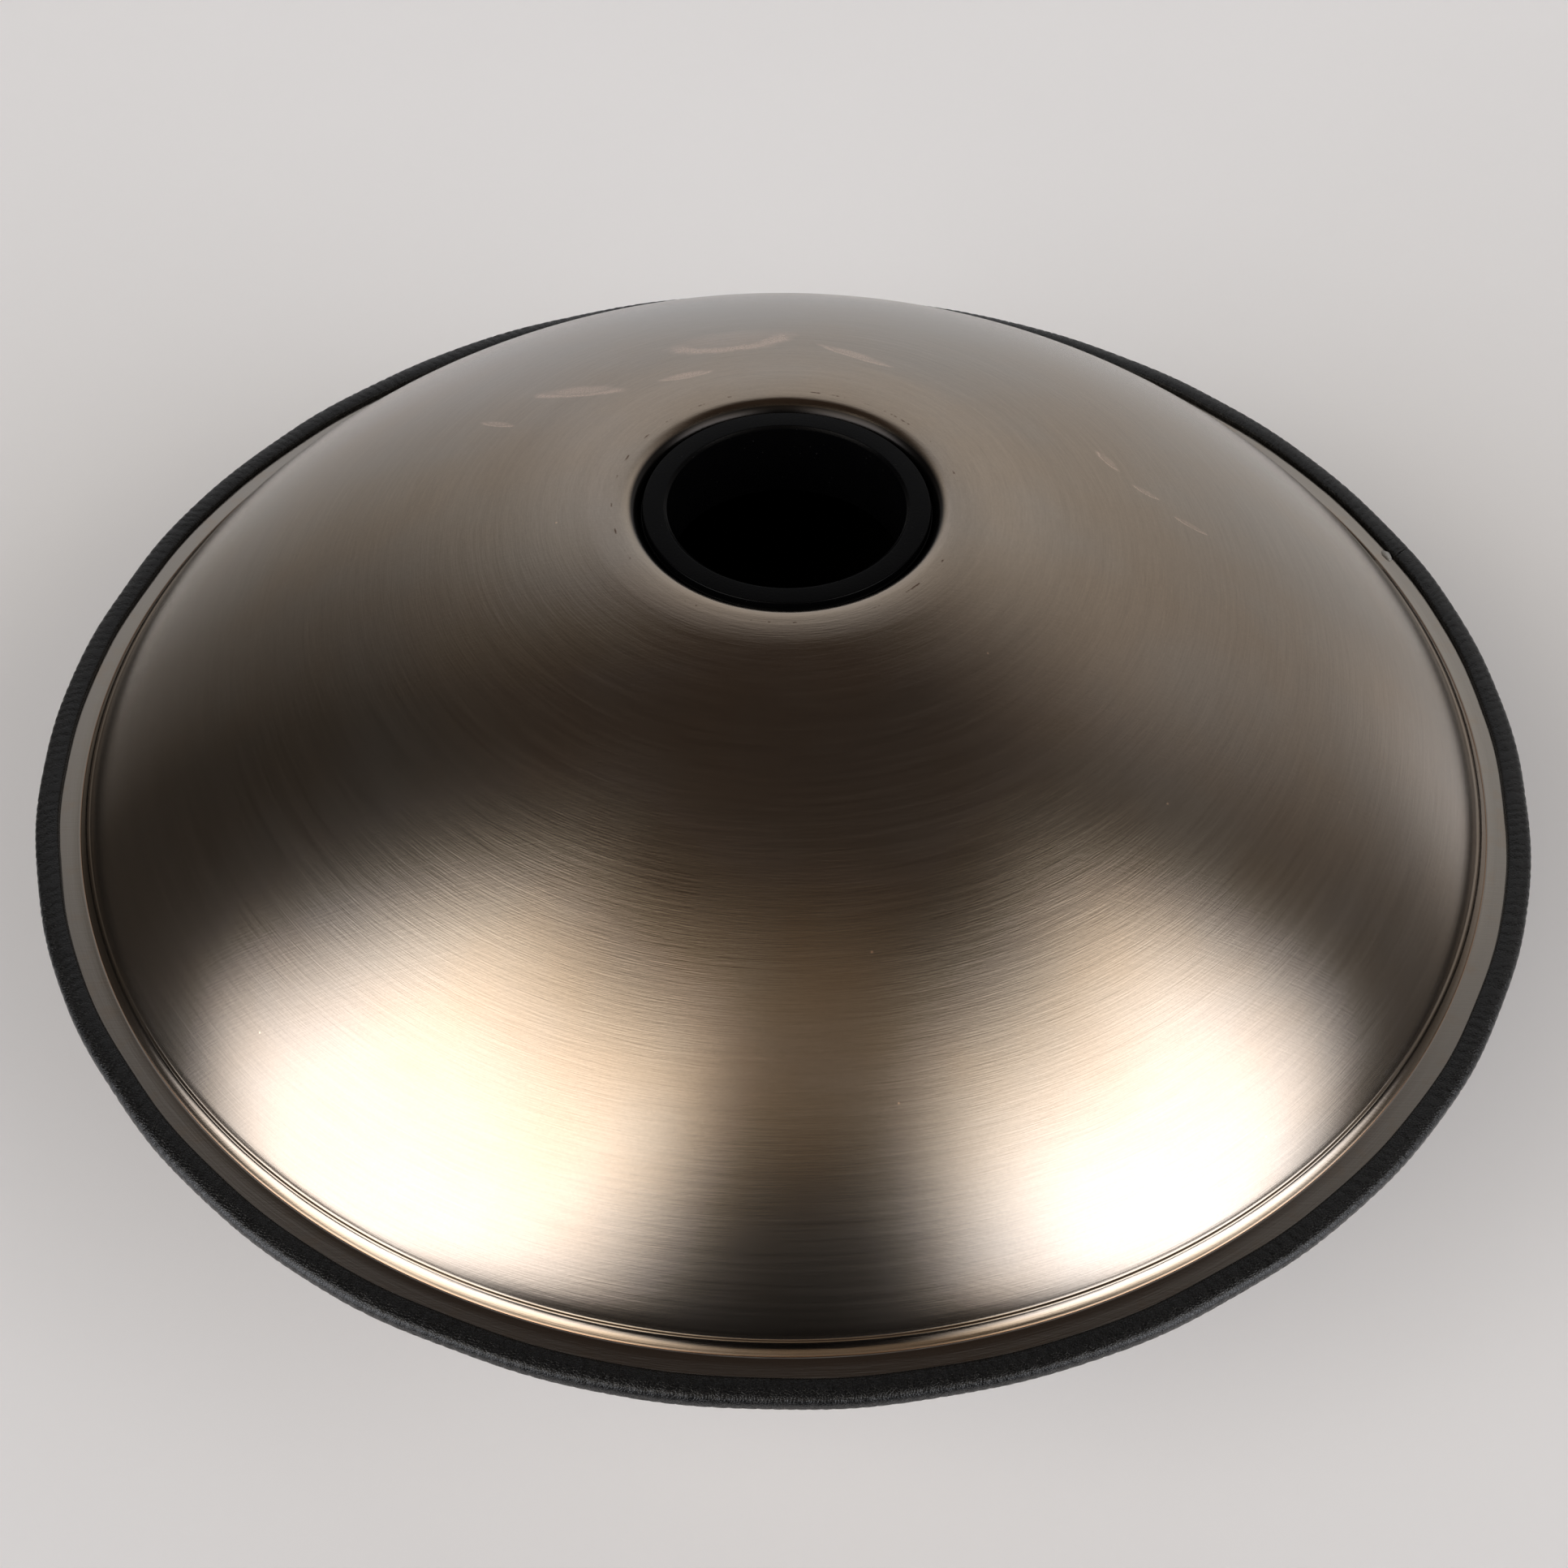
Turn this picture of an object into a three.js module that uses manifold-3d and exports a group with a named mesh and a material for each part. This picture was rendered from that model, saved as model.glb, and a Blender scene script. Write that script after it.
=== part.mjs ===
// A handpan lying on its ding side, with its gu side and port facing up.
// Two thin steel shells are glued together at their flanges, a clip-on edge
// trim covers the rim, and a rubber ring is pushed into the port's neck.
// Millimetres, +Z up. The origin is on the ground, under the port's centre.

import * as THREE from "three";
import * as BufferGeometryUtils from "three/addons/utils/BufferGeometryUtils.js";
import Module from "manifold-3d";

const wasm = await Module();
wasm.setup();

// ---------------------------------------------------------------- sizes

const SEGMENTS = 48; // facets round every turned piece but the port ring
const ARC_STEPS = 3; // facets in a quarter-round of a section
const FIT = 0.05; // hairline clearance between neighbouring pieces

const SEAM_Z = 112; // height of the glued seam above the ground
const STEEL = 1.2; // sheet thickness of both shells
const BOND = 0.6; // thickness of the adhesive between the flanges
const STACK_HALF = STEEL + BOND / 2; // flange faces lie this far from the seam

const FLANGE_R = 277; // outer edge of both flanges
const FOOT_R = 259.5; // where a dome starts, just inside its foot
const FOOT_FILLET = 3; // hollow radius between a flange and its dome
const FOOT_STEP = 0.8; // the dome starts this far inside the fillet
const GU_STEPS = 8; // facets from the gu's foot to its crown
const GU_CROWDING = 1.8; // above 1 puts more of them near the foot
const DING_STEPS = 14; // the same for the ding, which carries the tone fields
const DING_CROWDING = 1.3;

// A dome's height above its foot is RISE * (1 - (r / FOOT_R)^P)^(1 / Q).
const DOME_RISE = 121.2;
const DOME_P = 1.945;
const DOME_Q = 1.193;

const NECK_R = 51; // inside radius of the gu's port neck
const NECK_ROLL = 7; // radius of the roll that turns into the neck
const NECK_LENGTH = 16; // straight wall below the roll
const CROWN_R = 72; // where the dome starts to level out towards the port

const RING_R = 50.7; // port ring, where the neck grips it
const RING_FACE_R = 50; // port ring, at its top face
const RING_BORE_R = 41.5;
const RING_LENGTH = 30;
const RING_SHOULDER = 3; // height of the slimmer end under the top face
const RING_LIP = 0.8; // chamfer round both ends of the bore
const RING_SUNK = 1.4; // the ring's face lies this far below the crest
const RING_SEGMENTS = 36;

const DING_DIMPLE_R = 29; // inward dimple in the middle of the ding
const DING_DIMPLE_DEPTH = 8;
const DING_CREASE = 3; // width of the soft edge round the flat membrane

const TRIM_R = 280; // outside radius over the trim
const TRIM_WIDTH = 8.7; // from the trim's outside to its lips
const TRIM_HALF = 3.3; // half of the trim's height
const TRIM_OUTER_ROUND = 2.4;
const TRIM_LIP_ROUND = 1.2;
const TRIM_SLOT_R = 277.3; // bottom of the slot that takes the flanges

const CORE_THICK = 0.6; // steel strip inside the trim
const CORE_WEB_R = 278.6; // middle of the strip behind the flanges' edge
const CORE_LEG_Z = 2.35; // middle of its two legs, from the seam
const CORE_BEND = 1.2;
const CORE_MOUTH_R = 272.6; // where the legs end

const JOINT_ANGLE = THREE.MathUtils.degToRad(23); // the trim's two ends meet here
const JOINT_GAP = 0.5;
const JOINT_SLANT = THREE.MathUtils.degToRad(20);
const GLUE_R = 269.3; // middle of the glue drop beside the joint
const GLUE_SIZE = [1.5, 3.2, 0.9]; // half width, half length, height

// Tone fields of the ding: eight ovals, from the lowest note to the highest.
const FIELD_RING_R = 172;
const FIELD_LENGTHS = [138, 132, 124, 118, 112, 106, 100, 96];
const FIELD_ASPECT = 0.82; // width across the oval to length along the ring
const FIELD_ORDER = [0, 1, 3, 5, 7, 6, 4, 2]; // low notes near the player
const FIELD_SAG = 0.0019; // flattening per square millimetre of half length
const FIELD_DIMPLE = 0.36; // dimple's share of its oval
const FIELD_DIMPLE_DEPTH = 3.2;

// ------------------------------------------------------------- sections

const point = (r, z) => new THREE.Vector2(r, z);

// Points on an arc about (r, z), with angles in degrees, ends included.
function arc(r, z, radius, from, to, steps = ARC_STEPS) {
  return Array.from({ length: steps + 1 }, (_, i) => {
    const angle = THREE.MathUtils.degToRad(from + ((to - from) * i) / steps);
    return point(r + radius * Math.cos(angle), z + radius * Math.sin(angle));
  });
}

// The same line moved by a distance to its left, seen along its direction.
function offset(line, distance) {
  return line.map((here, i) => {
    const before = line[Math.max(i - 1, 0)];
    const after = line[Math.min(i + 1, line.length - 1)];
    const inward = here.clone().sub(before).normalize();
    const outward = after.clone().sub(here).normalize();
    const along = inward.add(outward).normalize();
    const reference = i > 0 ? here.clone().sub(before) : after.clone().sub(here);
    const corner = Math.max(along.dot(reference.normalize()), 0.5);
    return point(-along.y, along.x).multiplyScalar(distance / corner).add(here);
  });
}

// A closed section between a line and its offset.
const thicken = (line, thickness) => [...line, ...offset(line, thickness).reverse()];

// A solid of revolution about Z from a closed section, counter-clockwise.
function turn(section, segments = SEGMENTS) {
  const geometry = new THREE.LatheGeometry([...section, section[0]], segments);
  return geometry.rotateX(Math.PI / 2);
}

// A solid of revolution whose section starts and ends on the axis.
const turnOnAxis = (section) => new THREE.LatheGeometry(section, SEGMENTS).rotateX(Math.PI / 2);

// -------------------------------------------------------- boolean cutting

function toSolid(geometry) {
  const bare = geometry.clone();
  bare.deleteAttribute("normal");
  bare.deleteAttribute("uv");
  const merged = BufferGeometryUtils.mergeVertices(bare, 1e-4);
  const vertProperties = new Float32Array(merged.attributes.position.array);
  const triVerts = new Uint32Array(merged.index.array);
  return new wasm.Manifold(new wasm.Mesh({ numProp: 3, vertProperties, triVerts }));
}

function toGeometry(solid) {
  const mesh = solid.getMesh();
  const geometry = new THREE.BufferGeometry();
  geometry.setAttribute("position", new THREE.BufferAttribute(mesh.vertProperties, 3));
  geometry.setIndex(new THREE.BufferAttribute(mesh.triVerts, 1));
  geometry.computeVertexNormals();
  return geometry;
}

const cut = (geometry, ...tools) =>
  toGeometry(tools.reduce((solid, tool) => solid.subtract(toSolid(tool)), toSolid(geometry)));

// ---------------------------------------------------------------- shells

// Height of a dome's outside above the seam at radius r.
function domeHeight(r) {
  const share = 1 - Math.pow(Math.min(r / FOOT_R, 1), DOME_P);
  return footTop + DOME_RISE * Math.pow(share, 1 / DOME_Q);
}

// The foot's outside, from the flange's edge to where the dome starts.
const footTop = STACK_HALF + FOOT_FILLET + FOOT_STEP / 2;
const filletR = FOOT_R + FOOT_STEP + FOOT_FILLET;
const foot = [
  point(FLANGE_R, STACK_HALF),
  ...arc(filletR, STACK_HALF + FOOT_FILLET, FOOT_FILLET, 270, 180),
];

// A dome's outside from its foot up to the radius top, closer near the foot.
const dome = (top, steps, crowding) =>
  Array.from({ length: steps + 1 }, (_, i) => {
    const r = FOOT_R - (FOOT_R - top) * Math.pow(i / steps, crowding);
    return point(r, domeHeight(r));
  });

// The gu's crest joins the dome's slope at CROWN_R to a level top.
const crownSlope = Math.atan(domeHeight(CROWN_R - 0.5) - domeHeight(CROWN_R + 0.5));
const crestR = NECK_R + NECK_ROLL;
const crestZ = domeHeight(CROWN_R) + (CROWN_R - crestR) * Math.tan(crownSlope / 2);

function guShell() {
  const crestArc = (CROWN_R - crestR) / Math.sin(crownSlope);
  const slopeAngle = THREE.MathUtils.radToDeg(crownSlope);
  const outside = [
    ...foot,
    ...dome(CROWN_R, GU_STEPS, GU_CROWDING),
    ...arc(crestR, crestZ - crestArc, crestArc, 90 - slopeAngle / 2, 90, 1),
    ...arc(crestR, crestZ - NECK_ROLL, NECK_ROLL, 90, 180, 4).slice(1),
    point(NECK_R, crestZ - NECK_ROLL - NECK_LENGTH),
  ];
  return turn(thicken(outside, STEEL));
}

// The eight tone fields: place, half length and half width of each oval.
function toneFields() {
  const lengths = FIELD_ORDER.map((i) => FIELD_LENGTHS[i]);
  const spare = 2 * Math.PI * FIELD_RING_R - lengths.reduce((sum, length) => sum + length, 0);
  const gap = spare / lengths.length;
  let along = -lengths[0] / 2;
  return lengths.map((length) => {
    const angle = (along + length / 2) / FIELD_RING_R - Math.PI / 2;
    along += length + gap;
    return { angle, halfLength: length / 2, halfWidth: (length * FIELD_ASPECT) / 2 };
  });
}

// How far the ding is pressed inwards at a place, by its oval and dimple.
function fieldPress(x, y, fields) {
  let press = 0;
  for (const { angle, halfLength, halfWidth } of fields) {
    const outwards = x * Math.cos(angle) + y * Math.sin(angle) - FIELD_RING_R;
    const sideways = y * Math.cos(angle) - x * Math.sin(angle);
    const share = Math.hypot(outwards / halfWidth, sideways / halfLength);
    const flat = FIELD_SAG * halfLength * halfWidth * Math.max(1 - share * share, 0);
    const dimple = Math.max(1 - Math.pow(share / FIELD_DIMPLE, 2), 0);
    press += flat + FIELD_DIMPLE_DEPTH * dimple;
  }
  return press;
}

function dingShell() {
  const restR = membraneRadius();
  const restZ = -SEAM_Z;
  const dimpleArc = (DING_DIMPLE_R ** 2 + DING_DIMPLE_DEPTH ** 2) / (2 * DING_DIMPLE_DEPTH);
  const dimpleAngle = THREE.MathUtils.radToDeg(Math.asin(DING_DIMPLE_R / dimpleArc));
  const dimpleTop = restZ + DING_DIMPLE_DEPTH - dimpleArc;
  const side = [...foot, ...dome(restR + DING_CREASE, DING_STEPS, DING_CROWDING)];
  const outside = [
    ...arc(0, dimpleTop, dimpleArc, 90, 90 - dimpleAngle),
    point(restR - DING_CREASE, restZ),
    ...side.reverse().map((p) => point(p.x, -p.y)),
  ];
  outside[0].x = 0;
  const inside = offset(outside, STEEL);
  inside[0].x = 0;
  const geometry = turnOnAxis([...outside, ...inside.reverse()]);
  const fields = toneFields();
  const position = geometry.attributes.position;
  for (let i = 0; i < position.count; i += 1) {
    const press = fieldPress(position.getX(i), position.getY(i), fields);
    position.setZ(i, position.getZ(i) + press);
  }
  return geometry;
}

// The radius at which the ding's dome reaches the ground.
function membraneRadius() {
  const share = Math.pow((SEAM_Z - footTop) / DOME_RISE, DOME_Q);
  return FOOT_R * Math.pow(1 - share, 1 / DOME_P);
}

// ------------------------------------------------------------------- rim

function rimAdhesive() {
  const half = BOND / 2 - FIT;
  const inner = filletR + 0.5;
  const outer = FLANGE_R - 1;
  return turn([point(inner, -half), point(outer, -half), point(outer, half), point(inner, half)]);
}

// The middle line of the steel strip, from its lower leg's end to the upper's.
const coreLine = [
  point(CORE_MOUTH_R, -CORE_LEG_Z),
  ...arc(CORE_WEB_R - CORE_BEND, CORE_BEND - CORE_LEG_Z, CORE_BEND, 270, 360),
  ...arc(CORE_WEB_R - CORE_BEND, CORE_LEG_Z - CORE_BEND, CORE_BEND, 0, 90),
  point(CORE_MOUTH_R, CORE_LEG_Z),
];

// The strip's section, grown by a clearance all round.
function coreSection(clearance) {
  const half = CORE_THICK / 2 + clearance;
  const line = coreLine.map((p) => p.clone());
  line[0].x -= clearance;
  line[line.length - 1].x -= clearance;
  return [...offset(line, -half), ...offset(line, half).reverse()];
}

// A thin slanted block that parts the trim's two ends.
function jointCutter(gap) {
  const reach = 4 * TRIM_WIDTH;
  const block = new THREE.BoxGeometry(reach, gap, reach);
  block.rotateZ(JOINT_SLANT);
  block.translate(TRIM_R, 0, 0);
  return block.rotateZ(JOINT_ANGLE);
}

function edgeTrim() {
  const lipR = TRIM_R - TRIM_WIDTH;
  const slotHalf = STACK_HALF + FIT;
  const round = TRIM_OUTER_ROUND;
  const lip = TRIM_LIP_ROUND;
  const section = [
    ...arc(lipR + lip, lip - TRIM_HALF, lip, 180, 270, 2),
    ...arc(TRIM_R - round, round - TRIM_HALF, round, 270, 360),
    ...arc(TRIM_R - round, TRIM_HALF - round, round, 0, 90),
    ...arc(lipR + lip, TRIM_HALF - lip, lip, 90, 180, 2),
    point(lipR, slotHalf),
    point(TRIM_SLOT_R, slotHalf),
    point(TRIM_SLOT_R, -slotHalf),
    point(lipR, -slotHalf),
  ];
  return cut(turn(section), turn(coreSection(FIT)), jointCutter(JOINT_GAP));
}

const trimCore = () => cut(turn(coreSection(0)), jointCutter(JOINT_GAP + 2 * FIT));

function jointGlue() {
  const [halfWidth, halfLength, height] = GLUE_SIZE;
  const drop = new THREE.LatheGeometry([point(0, 0), ...arc(0, 0, 1, 0, 90)], 16);
  drop.rotateX(Math.PI / 2);
  drop.scale(halfWidth, halfLength, height);
  drop.translate(GLUE_R, 0, STACK_HALF + FIT);
  return drop.rotateZ(JOINT_ANGLE);
}

// ------------------------------------------------------------- port ring

function portRing() {
  const top = crestZ - RING_SUNK;
  const bottom = top - RING_LENGTH;
  const shoulder = top - RING_SHOULDER;
  const section = [
    point(RING_BORE_R + RING_LIP, bottom),
    point(RING_FACE_R, bottom),
    point(RING_R, bottom + RING_LIP),
    point(RING_R, shoulder),
    point(RING_FACE_R, shoulder + RING_LIP),
    point(RING_FACE_R, top),
    point(RING_BORE_R + RING_LIP / 2, top),
    point(RING_BORE_R, top - RING_LIP),
    point(RING_BORE_R, bottom + RING_LIP),
  ];
  return turn(section, RING_SEGMENTS);
}

// -------------------------------------------------------------- materials

const nitridedSteel = new THREE.MeshStandardMaterial({
  color: 0x8f857a,
  roughness: 0.34,
  metalness: 1,
});
const springSteel = new THREE.MeshStandardMaterial({
  color: 0x77797b,
  roughness: 0.4,
  metalness: 1,
});
const grainedRubber = new THREE.MeshStandardMaterial({
  color: 0x17181a,
  roughness: 0.7,
  metalness: 0,
});
const smoothRubber = new THREE.MeshStandardMaterial({
  color: 0x101113,
  roughness: 0.6,
  metalness: 0,
});
const greyAdhesive = new THREE.MeshStandardMaterial({
  color: 0x6e6c68,
  roughness: 0.8,
  metalness: 0,
});
const clearGlue = new THREE.MeshStandardMaterial({
  color: 0x8b8a86,
  roughness: 0.35,
  metalness: 0,
});

// --------------------------------------------------------------- assembly

const handpan = new THREE.Group();
handpan.position.z = SEAM_Z; // every piece above is drawn from the seam

function add(name, geometry, material) {
  const mesh = new THREE.Mesh(geometry, material);
  mesh.name = name;
  handpan.add(mesh);
}

add("gu_shell", guShell(), nitridedSteel);
add("ding_shell", dingShell(), nitridedSteel);
add("rim_adhesive", rimAdhesive(), greyAdhesive);
add("edge_trim", edgeTrim(), grainedRubber);
add("trim_core", trimCore(), springSteel);
add("joint_glue", jointGlue(), clearGlue);
add("port_ring", portRing(), smoothRubber);

export default handpan;
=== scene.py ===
# A handpan on a pale studio floor, gu side and port up, built around its CAD frame.
# Two brushed steel shells glued flange to flange, an edge trim with a steel core round
# their rim, and a rubber port ring.
# Sections are drawn in millimetres from the seam plane; meshes are in metres.
import math

import bmesh
import bpy
import numpy as np
from mathutils import Matrix, Vector


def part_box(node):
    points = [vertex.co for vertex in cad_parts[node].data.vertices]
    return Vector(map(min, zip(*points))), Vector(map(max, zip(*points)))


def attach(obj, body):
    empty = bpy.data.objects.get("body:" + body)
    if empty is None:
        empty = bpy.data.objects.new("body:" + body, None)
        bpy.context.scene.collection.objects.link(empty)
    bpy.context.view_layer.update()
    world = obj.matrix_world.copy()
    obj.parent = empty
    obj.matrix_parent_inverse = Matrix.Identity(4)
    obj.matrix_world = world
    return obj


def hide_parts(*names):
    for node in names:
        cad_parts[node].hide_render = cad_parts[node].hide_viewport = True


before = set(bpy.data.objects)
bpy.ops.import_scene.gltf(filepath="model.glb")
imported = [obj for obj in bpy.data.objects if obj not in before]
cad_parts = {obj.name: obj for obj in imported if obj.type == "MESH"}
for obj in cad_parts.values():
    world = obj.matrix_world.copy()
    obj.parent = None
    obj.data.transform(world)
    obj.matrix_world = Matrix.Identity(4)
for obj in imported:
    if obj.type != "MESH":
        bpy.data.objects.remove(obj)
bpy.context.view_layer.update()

# ------------------------------------------------------------------ driving sizes

MM = 0.001
trim_low, trim_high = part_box("edge_trim")
ring_low, ring_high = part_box("port_ring")
gu_low, gu_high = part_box("gu_shell")
bond_low, bond_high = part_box("rim_adhesive")
core_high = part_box("trim_core")[1]
glue_low, glue_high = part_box("joint_glue")

SEAM_Z = (trim_low.z + trim_high.z) / 2
TRIM_R = trim_high.x / MM
TRIM_HALF = (trim_high.z - SEAM_Z) / MM
FLANGE_R = gu_high.x / MM
FLANGE_GAP = (gu_low.z - SEAM_Z) / MM
CREST_Z = (gu_high.z - SEAM_Z) / MM
RING_R = ring_high.x / MM
RING_TOP = (ring_high.z - SEAM_Z) / MM
RING_BOTTOM = (ring_low.z - SEAM_Z) / MM

# Both shells, from the flange inwards.
STEEL = 1.2  # sheet thickness
FACE_Z = FLANGE_GAP + STEEL  # outer face of a flange
FLANGE_DROP = 0.3  # how far the flange's outer edge bends down
FLANGE_LIFT = 0.35  # how far the flange has risen where it meets the crease
FOOT_R = FLANGE_R - 17.5  # where a dome starts
CREASE_R = FOOT_R + 4.3  # scribed line at the outside of the foot
FOOT_TOP = FACE_Z + 3.4  # height of the dome's start
WALL_RISE = 9.0  # height of the steep wall above the foot, drawn in fine steps
DOME_RISE = 121.2  # height a dome would reach on the axis
DOME_P = 1.945  # the two powers of the dome's curve
DOME_Q = 1.193

# The gu's port.
CROWN_R = 72.0  # where the dome starts to level out towards the port
NECK_R = 51.0  # inside radius of the neck
NECK_ROLL = 7.0  # radius of the roll that turns into the neck
NECK_LENGTH = 16.0  # straight wall below the roll
CREST_R = NECK_R + NECK_ROLL

# The ding's tone fields, which lie on a ring round its middle.
TONE_RING_R = 172.0
TONE_LENGTHS = [138, 132, 124, 118, 112, 106, 100, 96]
TONE_ORDER = [0, 1, 3, 5, 7, 6, 4, 2]  # low notes near the player
TONE_ASPECT = 0.82  # width across an oval to its length along the ring
TONE_SAG = 0.0019  # flattening per square millimetre of half length times half width
TONE_DIMPLE = 0.36  # dimple's share of its oval
TONE_DIMPLE_DEPTH = 3.2
TONE_SOFT_EDGE = 0.22  # half the shoulder's width, as a share of the oval
DING_DIMPLE_R = 29.0
DING_DIMPLE_DEPTH = 8.0
DING_CREASE = 3.0  # width of the soft edge round the flat membrane

# The edge trim, its ribs, its joint and the steel core inside it.
TRIM_WIDTH = 8.7  # from the trim's outside to its lips
TRIM_OUTER_ROUND = 2.6
TRIM_LIP_ROUND = 1.2
TRIM_CROWN_RISE = 0.25
RIB_COUNT = 392
RIB_DEPTH = 0.42
SEGMENTS_PER_RIB = 6
JOINT_ANGLE = math.radians(23)  # the trim's two ends meet here
JOINT_SLANT = math.radians(20)
JOINT_GAP = 0.5
CORE_THICK = 0.6
CORE_BEND = 1.2
CORE_MOUTH_R = 272.6  # where the core's two legs end
CORE_SEGMENTS = 1200

# Glue.
SQUEEZE_OUT = 0.6  # how unevenly the adhesive stands out of the flanges' inner edge
GLUE_HALF_WIDTH = 1.5
GLUE_HALF_LENGTH = 3.2
GLUE_RINGS = 10
GLUE_SPOKES = 40

# The port ring.
RING_BORE_R = 41.5
RING_SHOULDER = 3.0  # height of the slimmer end under the top face
RING_STEP = 0.7  # how much slimmer that end is
RING_LIP = 0.8  # chamfer round both ends of the bore
RING_SEGMENTS = 288

WELD_DISTANCE = 1e-6  # in metres
SHARP_ANGLE = math.radians(38)
ROUND_SEGMENTS = 384  # round both shells and the adhesive
WALL_STEPS = 20  # up the steep wall of a dome

# The studio, in metres.
FLOOR_R = 0.55
WALL_R = 3.4
WALL_HEIGHT = 3.0
STUDIO_SPOKES = 96


# ----------------------------------------------------------------------- sections


def arc(r, z, radius, start, end, steps):
    """Points on an arc about (r, z), angles in degrees."""
    angles = np.radians(np.linspace(start, end, steps + 1))
    return np.column_stack([r + radius * np.cos(angles), z + radius * np.sin(angles)])


def dome_height(r):
    """Height of a dome's outside above the seam at a radius."""
    share = 1 - (np.minimum(r, FOOT_R) / FOOT_R) ** DOME_P
    return FOOT_TOP + DOME_RISE * share ** (1 / DOME_Q)


def dome_radius(z):
    """The same curve the other way round: the radius at a height."""
    share = ((z - FOOT_TOP) / DOME_RISE) ** DOME_Q
    return FOOT_R * (1 - share) ** (1 / DOME_P)


def dome_line(top, steps, crowding):
    """The dome's outside from its steep foot to the radius top. With crowding above 1
    more of the steps lie near the foot."""
    z = np.linspace(FOOT_TOP + 0.3, FOOT_TOP + WALL_RISE, WALL_STEPS)
    wall = np.column_stack([dome_radius(z), z])
    wall_r = dome_radius(FOOT_TOP + WALL_RISE)
    r = wall_r - (wall_r - top) * np.linspace(0, 1, steps + 1)[1:] ** crowding
    return np.vstack([wall, np.column_stack([r, dome_height(r)])])


def soft_corner(start, corner, end, steps):
    """A curve from start to end that leaves towards the corner and arrives from it."""
    share = np.linspace(0, 1, steps + 1)[:, None]
    start, corner, end = np.array(start), np.array(corner), np.array(end)
    return (1 - share) ** 2 * start + 2 * share * (1 - share) * corner + share**2 * end


def left_of(line, distance):
    """The line moved by a distance to its left."""
    along = np.gradient(line, axis=0)
    along /= np.linalg.norm(along, axis=1)[:, None]
    return line + distance * np.column_stack([-along[:, 1], along[:, 0]])


def foot_line():
    """Flange with its soft lift, scribed crease, hollow fillet and a narrow ledge."""
    flange = [
        [FLANGE_R, FACE_Z - FLANGE_DROP - 0.15],
        [FLANGE_R - 0.15, FACE_Z - FLANGE_DROP],
        [FLANGE_R - 5, FACE_Z - FLANGE_DROP * 0.6],
        [CREASE_R + 4.5, FACE_Z],
    ]
    lift = soft_corner(
        [CREASE_R + 3.8, FACE_Z + 0.02],
        [CREASE_R + 1.9, FACE_Z + 0.09],
        [CREASE_R + 0.25, FACE_Z + FLANGE_LIFT],
        6,
    )
    crease = [[CREASE_R, FACE_Z + FLANGE_LIFT - 0.10]]
    fillet = soft_corner(
        [CREASE_R - 0.25, FACE_Z + FLANGE_LIFT + 0.10],
        [FOOT_R + 1.9, FACE_Z + FLANGE_LIFT + 1.0],
        [FOOT_R + 1.15, FOOT_TOP - 0.55],
        12,
    )
    ledge = soft_corner(
        [FOOT_R + 1.05, FOOT_TOP - 0.38],
        [FOOT_R + 0.80, FOOT_TOP - 0.14],
        [FOOT_R + 0.20, FOOT_TOP - 0.02],
        6,
    )
    return np.vstack([flange, lift, crease, fillet, ledge])


# ------------------------------------------------------------------------- meshes


def make_object(name, vertices, faces, material_index=None):
    """A smooth-shaded mesh whose sharp corners stay sharp."""
    mesh = bpy.data.meshes.new(name)
    mesh.from_pydata(vertices.tolist(), [], faces)
    if material_index is not None:
        mesh.polygons.foreach_set("material_index", material_index)
    mesh.polygons.foreach_set("use_smooth", [True] * len(mesh.polygons))
    mesh.set_sharp_from_angle(angle=SHARP_ANGLE)
    mesh.validate()
    mesh.update()
    made = bpy.data.objects.new(name, mesh)
    bpy.context.scene.collection.objects.link(made)
    return made


def turned(
    name, section, angles, closed_round=True, shape=None, poles=False, inside=None, mark=None
):
    """Carries a closed section round Z. shape moves the grid of radius, height, angle.
    With poles the section starts and ends on the axis instead of closing on itself.
    Section points from number inside onwards get the second material.
    The last argument gives each point a value from 0 to 1, which the trim's material reads to
    paint shade in its rib creases and light on its rib crowns."""
    rows, columns = len(angles), len(section)
    radius = np.tile(section[:, 0], (rows, 1))
    height = np.tile(section[:, 1], (rows, 1))
    angle = np.repeat(np.asarray(angles)[:, None], columns, axis=1)
    marks = mark(radius, height, angle) if mark else None
    if shape:
        radius, height, angle = shape(radius, height, angle)
    grid = np.stack([radius * np.cos(angle), radius * np.sin(angle), height], axis=2)
    vertices = grid.reshape(-1, 3) * MM + [0, 0, SEAM_Z]
    faces, second = [], []
    last_column = columns - 1 if poles else columns
    for i in range(rows if closed_round else rows - 1):
        here, there = i * columns, (i + 1) % rows * columns
        for j in range(last_column):
            k = (j + 1) % columns
            faces.append((here + j, there + j, there + k, here + k))
            second.append(int(inside is not None and j >= inside))
    if not closed_round:
        faces.append(tuple(range(columns)))
        faces.append(tuple(reversed(range((rows - 1) * columns, rows * columns))))
        second += [0, 0]
    made = make_object(name, vertices, faces, second)
    if mark:
        attribute = made.data.attributes.new("mark", "FLOAT", "POINT")
        attribute.data.foreach_set("value", marks.astype(np.float32).ravel())
    if poles:
        weld(made)
    return made


def weld(made):
    """Merges the points that meet on the axis."""
    work = bmesh.new()
    work.from_mesh(made.data)
    bmesh.ops.remove_doubles(work, verts=work.verts, dist=WELD_DISTANCE)
    bmesh.ops.dissolve_degenerate(work, edges=work.edges, dist=WELD_DISTANCE)
    work.to_mesh(made.data)
    work.free()


def full_circle(segments=ROUND_SEGMENTS):
    """Angles round a closed piece. The first isn't repeated at the end."""
    return np.linspace(0, 2 * math.pi, segments, endpoint=False)


# ------------------------------------------------------------------- node writing


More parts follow.
